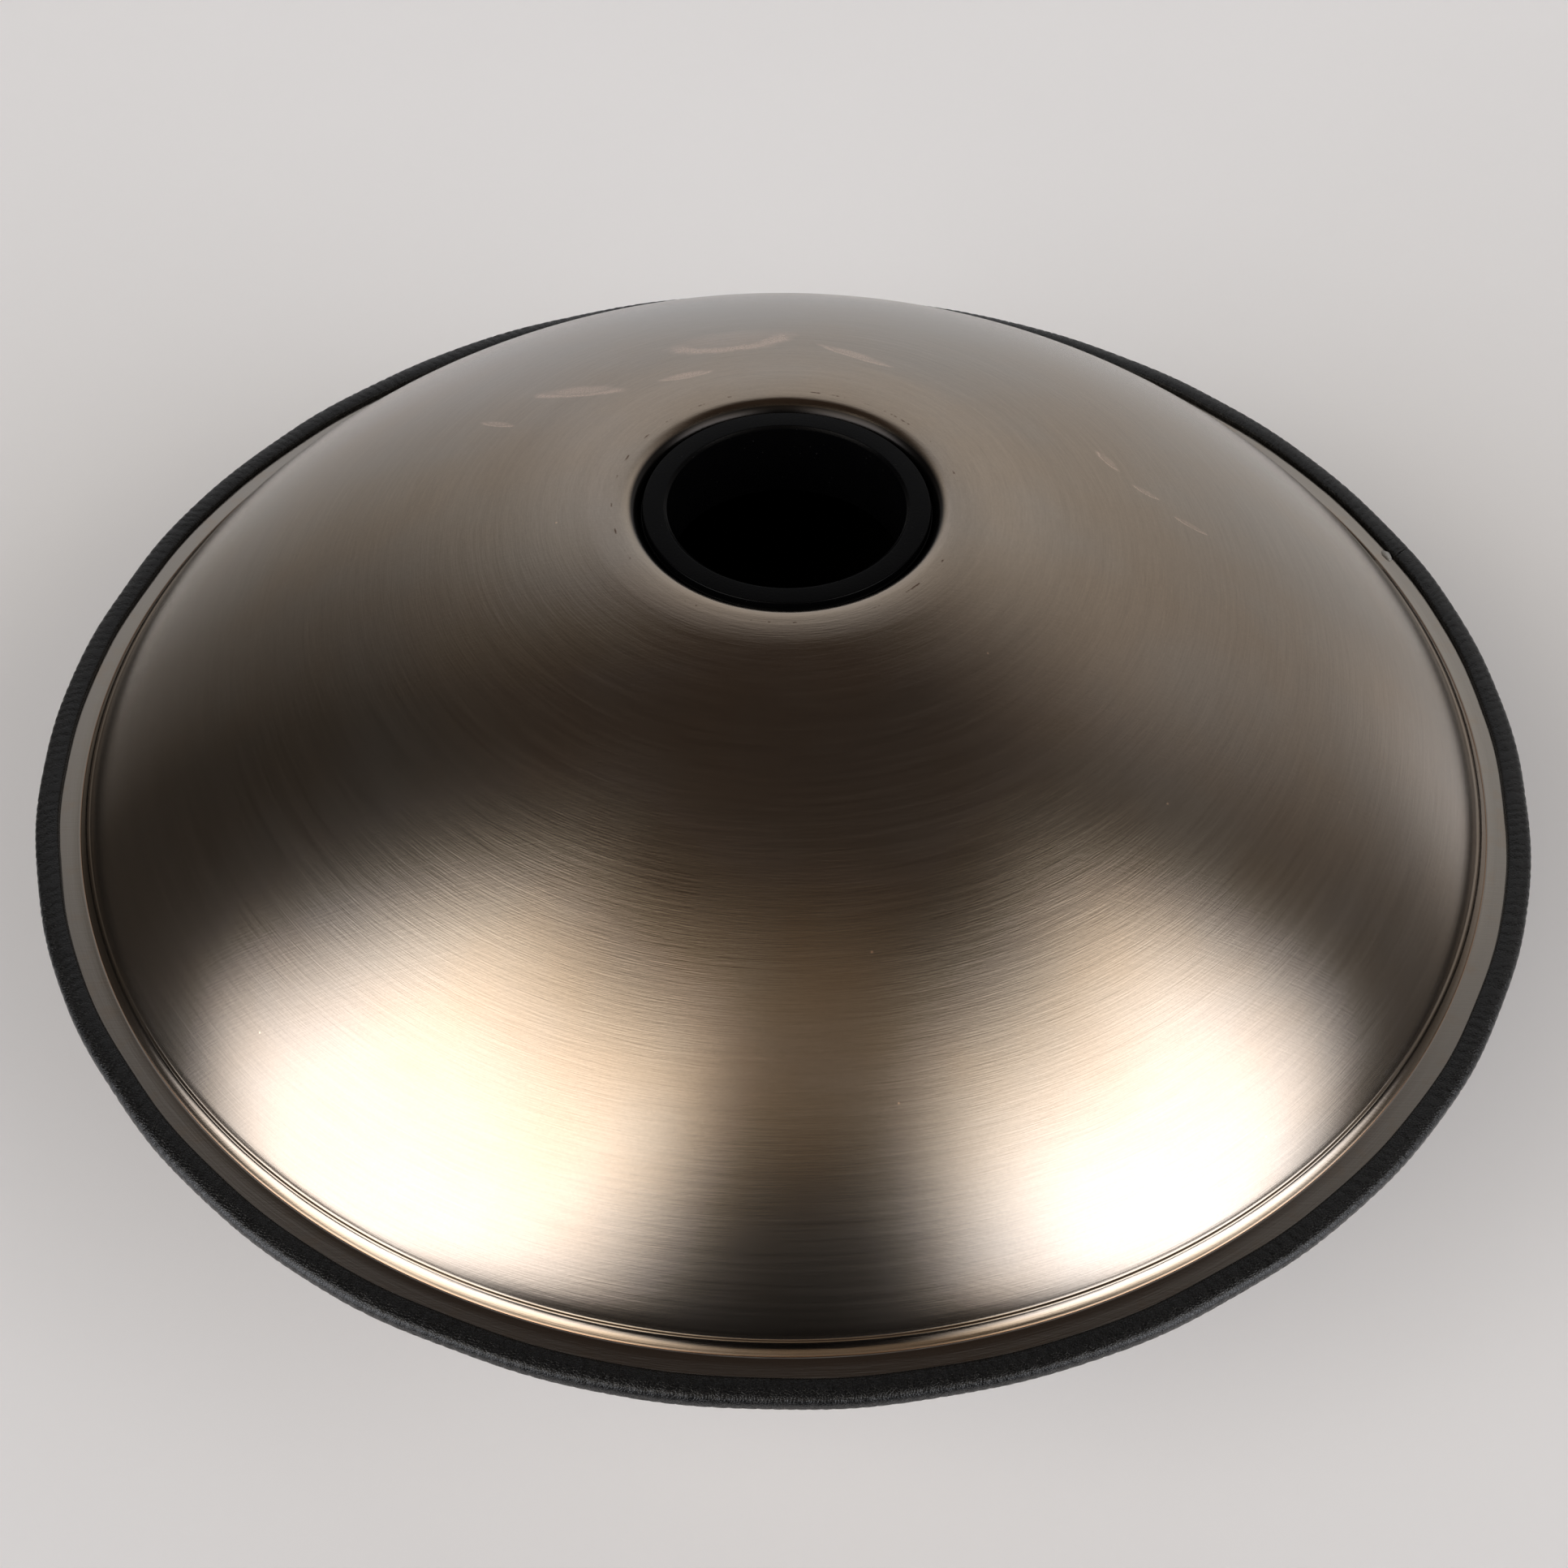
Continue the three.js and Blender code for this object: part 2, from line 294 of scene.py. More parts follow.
class Shader:
    """A short way to write a node tree."""

    def __init__(self, tree):
        self.tree = tree
        tree.nodes.clear()

    def node(self, kind, inputs=None, **settings):
        made = self.tree.nodes.new("ShaderNode" + kind)
        for name, value in settings.items():
            setattr(made, name, value)
        for key, value in (inputs or {}).items():
            self.plug(made.inputs[key], value)
        return made

    def plug(self, socket, value):
        if isinstance(value, bpy.types.NodeSocket):
            self.tree.links.new(value, socket)
        elif socket.type == "VECTOR" and len(value) == 4:
            socket.default_value = value[:3]
        else:
            socket.default_value = value

    def math(self, operation, *values):
        return self.node("Math", dict(enumerate(values)), operation=operation).outputs[0]

    def add(self, first, *others):
        for other in others:
            first = self.math("ADD", first, other)
        return first

    def times(self, first, *others):
        for other in others:
            first = self.math("MULTIPLY", first, other)
        return first

    def step(self, value, low, high, start=0.0, end=1.0):
        """Turns smoothly from start to end as value goes from low to high."""
        names = ["Value", "From Min", "From Max", "To Min", "To Max"]
        inputs = dict(zip(names, [value, low, high, start, end]))
        return self.node("MapRange", inputs, interpolation_type="SMOOTHSTEP").outputs[0]

    def near(self, value, middle, width):
        """1 at middle, falling smoothly to 0 at a distance of width."""
        away = self.math("ABSOLUTE", self.math("SUBTRACT", value, middle))
        return self.step(away, 0.0, width, 1.0, 0.0)

    def vector(self, x=0.0, y=0.0, z=0.0):
        return self.node("CombineXYZ", {0: x, 1: y, 2: z}).outputs[0]

    def noise(self, vector, scale=1.0, detail=2.0, roughness=0.5):
        inputs = {"Vector": vector, "Scale": scale, "Detail": detail, "Roughness": roughness}
        return self.node("TexNoise", inputs).outputs[0]

    def mix(self, factor, first, second):
        made = self.node("Mix", {0: factor, 6: first, 7: second}, data_type="RGBA")
        return made.outputs[2]

    def ramp(self, value, stops):
        made = self.node("ValToRGB", {0: value})
        elements = made.color_ramp.elements
        while len(elements) < len(stops):
            elements.new(0.5)
        for element, (place, color) in zip(elements, stops):
            element.position = place
            element.color = (*color, 1)
        return made.outputs[0]

    def bump(self, height, distance):
        return self.node("Bump", {"Height": height, "Distance": distance}).outputs[0]


def new_material(name):
    """A material, and the writer of its empty node tree."""
    material = bpy.data.materials.new(name)
    material.use_nodes = True
    return material, Shader(material.node_tree)


def principled(s, **inputs):
    """The one surface shader of a material. Underscores stand for spaces."""
    named = {name.replace("_", " "): value for name, value in inputs.items()}
    shader = s.node("BsdfPrincipled", named)
    s.node("OutputMaterial", {"Surface": shader.outputs[0]})


def object_place(s):
    """x, y and height above the seam on the piece, in millimetres."""
    place = s.node("TexCoord").outputs["Object"]
    x, y, z = [s.times(part, 1 / MM) for part in s.node("SeparateXYZ", {0: place}).outputs]
    return x, y, s.math("SUBTRACT", z, SEAM_Z / MM)


def hypot(s, x, y):
    """Length of the vector x, y."""
    return s.math("SQRT", s.add(s.times(x, x), s.times(y, y)))


def streaks(s, x, y, z, radius, along, across, shift=0.0):
    """Noise drawn out round the axis: about 1/along radians by 1/across millimetres."""
    turn = s.math("DIVIDE", along, s.math("MAXIMUM", radius, 1.0))
    run = s.math("SUBTRACT", radius, s.math("ABSOLUTE", z))
    vector = s.vector(s.times(x, turn), s.times(y, turn), s.add(s.times(run, across), shift))
    return s.noise(vector, detail=3.0, roughness=0.6)


# ---------------------------------------------------------------------- materials


# Steel colours, as metal reflects them.
WARM_STEEL = (0.36, 0.29, 0.225, 1)
COOL_STEEL = (0.34, 0.295, 0.25, 1)
FLANGE_STEEL = (0.36, 0.335, 0.305, 1)
FLANGE_STAIN = (0.36, 0.28, 0.21, 1)
TOOL_MARK = (0.10, 0.055, 0.035, 1)
CREASE_BROWN = (0.33, 0.17, 0.08, 1)
SPECK_COPPER = (0.75, 0.55, 0.40, 1)
SMEAR_COPPER = (0.72, 0.54, 0.44, 1)
# painted shade for the neck's roll in the recess round the port ring
PAINTED_NECK_SHADE = (0.022, 0.020, 0.019, 1)

# Depths of the finest relief, in metres.
BRUSHING_DEPTH = 0.00005
SCALE_DEPTH = 0.0002
LEATHER_DEPTH = 0.00013
RUBBER_DEPTH = 0.00005
ROLLING_DEPTH = 0.00003
LUMP_DEPTH = 0.0002

DASH_R = CREST_R + 2.9  # the dark dashes round the neck
SPIN_RADII = (165, 95)  # the spin rings come in between these radii
CROWN_RADII = (105, 74)  # and the crown brightens between these

# Copper-tinted smears left by handling: middle x and y, half length, half width, tilt
# in degrees, and how much of the lens they fill.
SMEARS = [
    (-22, 107, 23, 12, 14, 0.30),
    (25, 93, 15, 3.0, -32, 0.75),
    (-77, 74, 17, 4.5, -15, 0.70),
    (-38, 75, 9.5, 2.6, 13, 0.90),
    (-107, 62, 8, 1.8, -36, 0.60),
    (117, 45, 6, 2.2, -52, 0.40),
    (130, 32, 5, 1.6, -20, 0.40),
    (146, 21, 6, 1.5, -15, 0.35),
]


def smear_mask(s, x, y, warp):
    """Lens-shaped smears, densest along their near edge."""
    total = None
    for middle_x, middle_y, half_length, half_width, tilt, fill in SMEARS:
        cos, sin = math.cos(math.radians(tilt)), math.sin(math.radians(tilt))
        dx, dy = s.math("SUBTRACT", x, middle_x), s.math("SUBTRACT", y, middle_y)
        u = s.add(s.times(dx, cos / half_length), s.times(dy, sin / half_length))
        v = s.add(s.times(dy, cos / half_width), s.times(dx, -sin / half_width))
        away = s.add(hypot(s, u, v), s.times(warp, 0.5), -0.25)
        edge = s.times(s.near(away, 0.86, 0.34), s.step(v, 0.45, -0.45))
        body = s.times(s.step(away, 1.05, 0.3), fill)
        one = s.math("MAXIMUM", edge, body)
        total = one if total is None else s.math("MAXIMUM", total, one)
    return total


def brushed_steel(name, smears=False):
    """Nitrided steel, brushed round the axis, with hairline scratches across it."""
    material, s = new_material(name)
    x, y, z = object_place(s)
    radius = hypot(s, x, y)
    place = s.vector(x, y, z)
    hair = streaks(s, x, y, z, radius, 16, 1.6)
    band = streaks(s, x, y, z, radius, 3, 0.45, shift=40.0)
    cloud = s.noise(place, 0.012, 3.0, 0.55)
    grit = s.noise(place, 0.9, 3.0, 0.6)
    scratched = s.vector(s.times(x, 0.10), s.times(y, 1.5), s.times(z, 0.1))
    cross = s.noise(scratched, 1.0, 2.0)
    near_port = s.step(radius, *SPIN_RADII)
    port_side = s.step(z, 0, 10)
    spin = streaks(s, x, y, z, radius, 0.6, 0.30, shift=90.0)
    height = s.add(s.times(hair, 0.55), s.times(band, 0.4), s.times(cross, 0.2))
    height = s.add(height, s.times(near_port, spin, 1.4))

    # warm and cool clouds, the brushing's tone, and spin rings by the port
    base = s.mix(s.step(cloud, 0.3, 0.7), WARM_STEEL, COOL_STEEL)
    tone = s.add(s.times(hair, 0.20), s.times(band, 0.18), s.times(cloud, 0.16))
    tone = s.add(tone, s.times(grit, 0.14), 0.52)
    tone = s.add(tone, s.times(near_port, spin, 0.12), s.step(radius, *CROWN_RADII, 0.0, 0.13))
    color = s.node("Mix", {0: 1.0, 6: base, 7: tone}, data_type="RGBA", blend_type="MULTIPLY")
    color = color.outputs[2]

    # dark dashes where the neck's tool ran round, a brown line along the foot, specks
    dash = s.times(s.near(s.add(radius, s.times(grit, 0.6)), DASH_R, 0.5), 0.9)
    dash = s.times(dash, s.step(streaks(s, x, y, z, radius, 9, 0.0, shift=7.0), 0.56, 0.64))
    crease = s.times(s.near(radius, CREASE_R, 0.4), s.add(0.35, s.times(grit, 0.5)))
    color = s.mix(s.times(dash, port_side), color, TOOL_MARK)
    color = s.mix(crease, color, CREASE_BROWN)
    dots = s.node("TexVoronoi", {"Vector": place, "Scale": 0.055})
    pick = s.node("SeparateXYZ", {0: dots.outputs["Color"]}).outputs[0]
    speck = s.times(s.step(dots.outputs["Distance"], 0.030, 0.012), s.step(pick, 0.45, 0.5))
    color = s.mix(s.times(speck, 0.7), color, SPECK_COPPER)
    rough = s.add(0.17, s.times(band, 0.05), s.times(cloud, 0.04))
    if smears:
        grain = s.step(s.noise(place, 2.2, 2.0, 0.7), 0.25, 0.75)
        warp = s.noise(place, 0.16, 3.0, 0.6)
        mask = s.times(smear_mask(s, x, y, warp), s.add(0.1, s.times(grain, 0.9)))
        color = s.mix(s.times(mask, 0.8), color, SMEAR_COPPER)
        rough = s.add(rough, s.times(mask, 0.12))

    # the foot's hollow and the neck's roll are smoother than the dome
    neck = s.times(s.step(radius, CREST_R + 3, CREST_R - 2), port_side)
    polished = s.math("MAXIMUM", s.near(radius, FOOT_R + 2, 2.4), neck)
    rough = s.add(rough, s.times(polished, -0.07))

    # the flange is greyer, with stains
    flange = s.step(radius, CREASE_R - 0.1, CREASE_R + 0.7)
    stain = s.step(s.noise(place, 0.11, 3.0, 0.6), 0.5, 0.72)
    color = s.mix(s.times(flange, 0.8), color, FLANGE_STEEL)
    color = s.mix(s.times(flange, stain, 0.30), color, FLANGE_STAIN)
    rough = s.add(rough, s.times(flange, -0.06))

    # painted shade: the neck's roll is painted dark from just below the crest, down into the
    # recess round the port ring
    inside_neck = s.step(radius, CREST_R + 4, CREST_R)
    painted_neck_shade = s.times(inside_neck, s.step(z, CREST_Z - 0.4, CREST_Z - 1.5), port_side)
    color = s.mix(painted_neck_shade, color, PAINTED_NECK_SHADE)
    rough = s.add(rough, s.times(painted_neck_shade, 0.14))
    tangent = s.node("Tangent", direction_type="RADIAL", axis="Z").outputs[0]
    principled(
        s,
        Base_Color=color,
        Metallic=1.0,
        Roughness=rough,
        Anisotropic=0.15,
        Anisotropic_Rotation=0.25,
        Tangent=tangent,
        Normal=s.bump(height, BRUSHING_DEPTH),
    )
    return material


def scale_and_painted_shade(name):
    """The shells' unpolished inside, dark with furnace scale and painted darker still as the
    shade inside the closed shells.
    """
    material, s = new_material(name)
    patch = s.noise(s.vector(*object_place(s)), 0.05, 4.0, 0.6)
    # near black: the scale's own dark colour with painted shade of the closed shells on top
    color = s.ramp(patch, [(0.3, (0.006, 0.006, 0.006)), (0.8, (0.016, 0.014, 0.012))])
    principled(
        s,
        Base_Color=color,
        Metallic=0.3,
        Roughness=s.add(0.6, s.times(patch, 0.2)),
        Normal=s.bump(patch, SCALE_DEPTH),
    )
    return material


def grained_rubber_with_rib_shade(name):
    """Black trim rubber with a leather grain, with painted shade in the creases between its
    ribs and painted light on their crowns.
    """
    material, s = new_material(name)
    x, y, z = object_place(s)
    radius = hypot(s, x, y)
    # 0 in the rib creases, 1 on the rib crowns: drives the painted shade and light
    crown = s.node("Attribute", attribute_name="mark").outputs["Fac"]
    place = s.vector(x, y, z)
    cells = s.node("TexVoronoi", {"Vector": place, "Scale": 1.1}, feature="DISTANCE_TO_EDGE")
    pore = s.step(cells.outputs["Distance"], 0.0, 0.22)
    fine = s.noise(place, 2.4, 3.0)
    patch = s.noise(place, 0.06, 2.0)
    crackle = streaks(s, x, y, z, radius, 190, 0.22)
    grain = s.add(s.times(pore, 0.5), s.times(fine, 0.45), s.times(crackle, 0.6))
    shade = s.add(s.times(crown, 0.55), s.times(grain, 0.30), s.times(patch, 0.15))
    # painted shade in the creases and painted light on the crowns, mixed with the real grain
    # and patches
    creases = (0.35, (0.0008, 0.0008, 0.0009))
    flanks = (0.72, (0.0025, 0.0026, 0.0027))
    crowns = (1, (0.006, 0.0061, 0.0064))
    color = s.ramp(shade, [creases, flanks, crowns])
    principled(
        s,
        Base_Color=color,
        Roughness=s.add(0.33, s.times(grain, -0.04), s.times(crown, -0.04)),
        Specular_IOR_Level=0.33,
        Normal=s.bump(grain, LEATHER_DEPTH),
    )
    return material


def smooth_rubber(name):
    """The port ring's dull rubber, with a little dust and handling marks."""
    material, s = new_material(name)
    place = s.vector(*object_place(s))
    skin = s.noise(place, 1.6, 3.0)
    smudge = s.noise(place, 0.05, 3.0, 0.6)
    dust = s.step(s.noise(place, 0.9, 1.0), 0.74, 0.80)
    dark = s.mix(smudge, (0.0005, 0.0005, 0.0006, 1), (0.0012, 0.0012, 0.0013, 1))
    principled(
        s,
        Base_Color=s.mix(s.times(dust, 0.06), dark, (0.12, 0.115, 0.11, 1)),
        Roughness=s.add(0.22, s.times(smudge, 0.10)),
        Specular_IOR_Level=0.05,
        Normal=s.bump(skin, RUBBER_DEPTH),
    )
    return material


def strip_steel(name):
    """Rolled steel strip, dull with fine lengthwise lines."""
    material, s = new_material(name)
    x, y, z = object_place(s)
    lines = streaks(s, x, y, z, hypot(s, x, y), 8, 4.0)
    principled(
        s,
        Base_Color=s.ramp(lines, [(0.2, (0.16, 0.16, 0.165)), (0.8, (0.30, 0.30, 0.30))]),
        Metallic=1.0,
        Roughness=s.add(0.34, s.times(lines, 0.15)),
        Normal=s.bump(lines, ROLLING_DEPTH),
    )
    return material


def cured_adhesive(name, dark, light, roughness, lump_scale):
    """Grey glue that has set with small lumps in it."""
    material, s = new_material(name)
    lump = s.noise(s.vector(*object_place(s)), lump_scale, 3.0)
    principled(
        s,
        Base_Color=s.mix(lump, (*dark, 1), (*light, 1)),
        Roughness=roughness,
        Normal=s.bump(lump, LUMP_DEPTH),
    )
    return material


# ------------------------------------------------------------------------- pieces


def finish_piece(piece, materials, body, node):
    """Gives a piece its materials, the body it rides on and the CAD node it replaces."""
    for material in materials:
        piece.data.materials.append(material)
    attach(piece, body)
    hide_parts(node)


def gu_shell():
    """The port side: flange, foot, dome, and the neck rolled inwards round the port."""
    crown_slope = math.atan(dome_height(CROWN_R - 0.5) - dome_height(CROWN_R + 0.5))
    crest_arc = (CROWN_R - CREST_R) / math.sin(crown_slope)
    slope = math.degrees(crown_slope)
    neck_end = CREST_Z - NECK_ROLL - NECK_LENGTH
    outside = np.vstack(
        [
            foot_line(),
            dome_line(CROWN_R, 72, 1.5),
            arc(CREST_R, CREST_Z - crest_arc, crest_arc, 90 - slope * 0.92, 90, 10),
            arc(CREST_R, CREST_Z - NECK_ROLL, NECK_ROLL, 90, 180, 18)[1:],
            [[NECK_R, CREST_Z - NECK_ROLL - NECK_LENGTH / 2], [NECK_R, neck_end]],
        ]
    )
    inner = left_of(outside, STEEL)[::-1][::2]
    section = np.vstack([outside, inner])
    return turned("brushed_gu_shell", section, full_circle(), inside=len(outside))


def tone_fields():
    """Angle, half length and half width of each oval, the longest facing the player."""
    lengths = [TONE_LENGTHS[i] for i in TONE_ORDER]
    gap = (2 * math.pi * TONE_RING_R - sum(lengths)) / len(lengths)
    fields = []
    along = -lengths[0] / 2
    for length in lengths:
        angle = (along + length / 2) / TONE_RING_R - math.pi / 2
        fields.append((angle, length / 2, length * TONE_ASPECT / 2))
        along += length + gap
    return fields


def press_fields(radius, height, angle):
    """Flattens each tone field and presses its dimple into the ding."""
    x, y = radius * np.cos(angle), radius * np.sin(angle)
    press = np.zeros_like(x)
    for turn, half_length, half_width in tone_fields():
        outwards = x * math.cos(turn) + y * math.sin(turn) - TONE_RING_R
        sideways = y * math.cos(turn) - x * math.sin(turn)
        share = np.hypot(outwards / half_width, sideways / half_length)
        # a rounded shoulder stands between the dome and the flattened oval
        flat = np.clip((1 + TONE_SOFT_EDGE - share) / (2 * TONE_SOFT_EDGE), 0, 1)
        flat = flat * flat * (3 - 2 * flat) * np.maximum(1.02 - 0.9 * share**2, 0.1)
        press += TONE_SAG * half_length * half_width * flat
        dimple = np.clip(1.15 - share / TONE_DIMPLE, 0, 1)
        press += TONE_DIMPLE_DEPTH * dimple * dimple * (3 - 2 * dimple)
    return radius, height + press, angle


def ding_shell():
    """The playing side, from the dimple in its middle out to its flange."""
    rest_z = -SEAM_Z / MM
    rest_r = dome_radius(-rest_z)
    dimple_arc = (DING_DIMPLE_R**2 + DING_DIMPLE_DEPTH**2) / (2 * DING_DIMPLE_DEPTH)
    dimple_angle = math.degrees(math.asin(DING_DIMPLE_R / dimple_arc))
    dimple_center = rest_z + DING_DIMPLE_DEPTH - dimple_arc
    side = np.vstack([foot_line(), dome_line(rest_r + DING_CREASE, 86, 1.15)])
    membrane = np.linspace(DING_DIMPLE_R + 2, rest_r - DING_CREASE, 20)
    outside = np.vstack(
        [
            arc(0, dimple_center, dimple_arc, 90, 90 - dimple_angle * 0.96, 14),
            np.column_stack([membrane, np.full_like(membrane, rest_z)]),
            (side * [1, -1])[::-1],
        ]
    )
    outside[0, 0] = 0
    inner = left_of(outside, STEEL)[::-1]
    inner = np.vstack([inner[:-1:2], inner[-1:]])
    inner[-1, 0] = 0
    section = np.vstack([outside, inner])
    return turned(
        "tuned_ding_shell",
        section,
        full_circle(),
        shape=press_fields,
        poles=True,
        inside=len(outside),
    )


def trim_angles(segments, gap):
    """Angles from one end of the open trim round to the other, gap in millimetres."""
    half = gap / 2 / TRIM_R
    return JOINT_ANGLE + np.linspace(half, 2 * math.pi - half, segments)


def slanted(radius, angle):
    """Shears the ring's cross cuts, so that the joint runs at a slant."""
    return angle + math.tan(JOINT_SLANT) * (radius - TRIM_R) / TRIM_R


def ripple(angle, seed, orders):
    """A seamless random wave round the rim, mostly between -1 and 1."""
    draw = np.random.default_rng(seed)
    wave = np.zeros_like(angle)
    for order in orders:
        wave += np.sin(order * angle + draw.uniform(0, 2 * math.pi))
    return wave / math.sqrt(len(orders))


def rib_share(radius, height, angle):
    """0 in the creases between the trim's cross ribs, 1 on their crowns."""
    across = (TRIM_R - radius) / TRIM_WIDTH + np.abs(height) / TRIM_HALF
    wander = 1.3 * ripple(angle, 3, [9, 14, 23, 31])
    wander += 0.45 * across * ripple(angle, 4, [89, 113, 151])
    wander += 0.40 * np.sin(9.0 * across + 2.5 * ripple(angle, 8, [61, 97, 131]))
    phase = RIB_COUNT / 2 * angle + wander
    rib = np.abs(np.sin(phase)) ** 0.4
    fine = np.abs(np.sin(2.6 * phase + 1.5 * ripple(angle, 6, [37, 59, 101]))) ** 0.6
    depth = np.clip(0.84 + 0.22 * ripple(angle, 5, [17, 29, 43, 61]), 0.5, 1)
    return 1 - depth * (1 - rib * (0.7 + 0.3 * fine))


def wrinkle_trim(radius, height, angle):
    """Cross ribs and slow waves of a trim pulled round a curve by hand."""
    sunk = RIB_DEPTH * (rib_share(radius, height, angle) - 1)
    outer = np.clip((radius - TRIM_R + 3) / 3, 0, 1)
    top = np.clip((np.abs(height) - TRIM_HALF + 1.6) / 1.2, 0, 1)
    top *= np.clip((radius - TRIM_R + TRIM_WIDTH) / 2, 0, 1)
    wave = 0.28 * ripple(angle, 7, [5, 8, 13, 21, 34])
    lean = 0.22 * ripple(angle, 11, [4, 7, 11, 19])
    moved_height = height + np.sign(height) * sunk * top * 0.6 + lean * outer
    return radius + sunk * outer + wave, moved_height, slanted(radius, angle)


def edge_trim():
    """A profile with a slot that takes both flanges, open at its joint."""
    lip_r = TRIM_R - TRIM_WIDTH
    slot_half = FACE_Z + 0.05
    slot_r = FLANGE_R + 0.3
    outer_r = TRIM_R - TRIM_OUTER_ROUND
    inner_r = lip_r + TRIM_LIP_ROUND
    crown = np.linspace(0, 1, 8)[1:-1]
    top_r = outer_r - (outer_r - inner_r) * crown
    top_z = TRIM_HALF + TRIM_CROWN_RISE * np.sin(np.pi * crown)
    upper = np.vstack(
        [
            arc(outer_r, TRIM_HALF - TRIM_OUTER_ROUND, TRIM_OUTER_ROUND, 0, 90, 6),
            np.column_stack([top_r, top_z]),
            arc(inner_r, TRIM_HALF - TRIM_LIP_ROUND, TRIM_LIP_ROUND, 90, 180, 4),
            [[lip_r, slot_half], [slot_r, slot_half]],
        ]
    )
    section = np.vstack([upper, (upper * [1, -1])[::-1]])
    return turned(
        "grained_edge_trim",
        section,
        trim_angles(RIB_COUNT * SEGMENTS_PER_RIB, JOINT_GAP),
        closed_round=False,
        shape=wrinkle_trim,
        # the rib share also sets the trim's painted shade in the creases and painted light on
        # the crowns
        mark=rib_share,
    )


def trim_core():
    """A strip bent to a U, which grips the flanges through the trim's legs."""
    half_thick = CORE_THICK / 2
    web_r = core_high.x / MM - half_thick
    leg_z = (core_high.z - SEAM_Z) / MM - half_thick
    bend_r = web_r - CORE_BEND
    line = np.vstack(
        [
            [[CORE_MOUTH_R, -leg_z], [CORE_MOUTH_R + 2, -leg_z]],
            arc(bend_r, CORE_BEND - leg_z, CORE_BEND, 270, 360, 6),
            arc(bend_r, leg_z - CORE_BEND, CORE_BEND, 0, 90, 6),
            [[CORE_MOUTH_R + 2, leg_z], [CORE_MOUTH_R, leg_z]],
        ]
    )
    section = np.vstack([left_of(line, -half_thick), left_of(line, half_thick)[::-1]])

    def cut_at_a_slant(radius, height, angle):
        return radius, height, slanted(radius, angle)

    return turned(
        "slotted_trim_core",
        section,
        trim_angles(CORE_SEGMENTS, JOINT_GAP + 0.1),
        closed_round=False,
        shape=cut_at_a_slant,
    )


def rim_adhesive():
    """The glue line between the flanges, with a wavy inner edge."""
    half = (bond_high.z - bond_low.z) / 2 / MM
    outer = bond_high.x / MM
    inner = CREASE_R
    section = np.array(
        [
            [inner, -half],
            [outer, -half],
            [outer + 0.2, 0],
            [outer, half],
            [inner, half],
            [inner - 0.3, 0],
        ]
    )

    def squeezed(radius, height, angle):
        at_inner_edge = radius < inner + 1
        wave = SQUEEZE_OUT * ripple(angle, 17, [13, 29, 47, 71])
        return radius + at_inner_edge * wave, height, angle

    return turned("cured_rim_adhesive", section, full_circle(), shape=squeezed)


def joint_glue():
    """A drop of glue that has run along the flange beside the trim's joint."""
    middle = (glue_low + glue_high) / 2
    height = (glue_high.z - glue_low.z) / MM
    vertices, faces = [], []
    for i in range(GLUE_RINGS):
        up = math.pi / 2 * (1 - i / GLUE_RINGS)
        share = math.sin(up)
        rise = math.cos(up)
        for j in range(GLUE_SPOKES):
            a = 2 * math.pi * j / GLUE_SPOKES
            wobble = 1 + 0.10 * math.sin(3 * a + 1) * share + 0.06 * math.sin(5 * a) * share
            across = GLUE_HALF_WIDTH * share * wobble * math.cos(a)
            along = GLUE_HALF_LENGTH * share * wobble * math.sin(a)
            vertices.append((across, along, height * rise * (1 + 0.1 * math.sin(a))))
    vertices.append((0, 0, height * 1.02))
    for i in range(GLUE_RINGS - 1):
        row, above = i * GLUE_SPOKES, (i + 1) * GLUE_SPOKES
        for j in range(GLUE_SPOKES):
            k = (j + 1) % GLUE_SPOKES
            faces.append((row + j, row + k, above + k, above + j))
    top = len(vertices) - 1
    last = (GLUE_RINGS - 1) * GLUE_SPOKES
    faces += [(last + j, last + (j + 1) % GLUE_SPOKES, top) for j in range(GLUE_SPOKES)]
    faces.append(tuple(reversed(range(GLUE_SPOKES))))
    points = np.array(vertices) * MM
    turn = np.array(Matrix.Rotation(JOINT_ANGLE, 3, "Z"))
    points = points @ turn.T + [middle.x, middle.y, glue_low.z]
    return make_object("cured_joint_glue", points, faces)


def port_ring():
    """A rubber tube with a slimmer top end and chamfered lips."""
    bore = RING_BORE_R
    lip_r = bore + RING_LIP
    face_r = RING_R - RING_STEP
    shoulder = RING_TOP - RING_SHOULDER
    section = np.vstack(
        [
            [[lip_r, RING_BOTTOM], [face_r - 0.4, RING_BOTTOM]],
            arc(face_r, RING_BOTTOM + RING_STEP, RING_STEP, 270, 360, 4),
            [[RING_R, shoulder - 0.3]],
            arc(RING_R - 0.4, shoulder, 0.4, 0, 90, 4),
            [[face_r, shoulder + RING_LIP]],
            arc(face_r - 0.5, RING_TOP - 0.5, 0.5, 0, 90, 5),
            [[lip_r + 0.9, RING_TOP]],
            arc(lip_r + 0.5, RING_TOP - 0.3, 0.3, 90, 150, 3),
            [[bore + 0.1, RING_TOP - RING_LIP], [bore, RING_TOP - RING_LIP - 0.4]],
            [[bore, RING_BOTTOM + RING_LIP + 8], [bore, RING_BOTTOM + RING_LIP]],
        ]
    )
    return turned("moulded_port_ring", section, full_circle(RING_SEGMENTS))


# ----------------------------------------------------------------- floor and light


def pale_material(name, low, high, glow=0.0):
    """Matt paint, mottled between two colours."""
    material, s = new_material(name)
    place = s.node("TexCoord").outputs["Object"]
    mottle = s.noise(place, 6.0, 3.0)
    principled(
        s,
        Base_Color=s.mix(mottle, (*low, 1), (*high, 1)),
        Roughness=0.75,
        Specular_IOR_Level=0.2,
        Emission_Color=(0.98, 0.98, 1.0, 1),
        Emission_Strength=glow,
    )
    return material


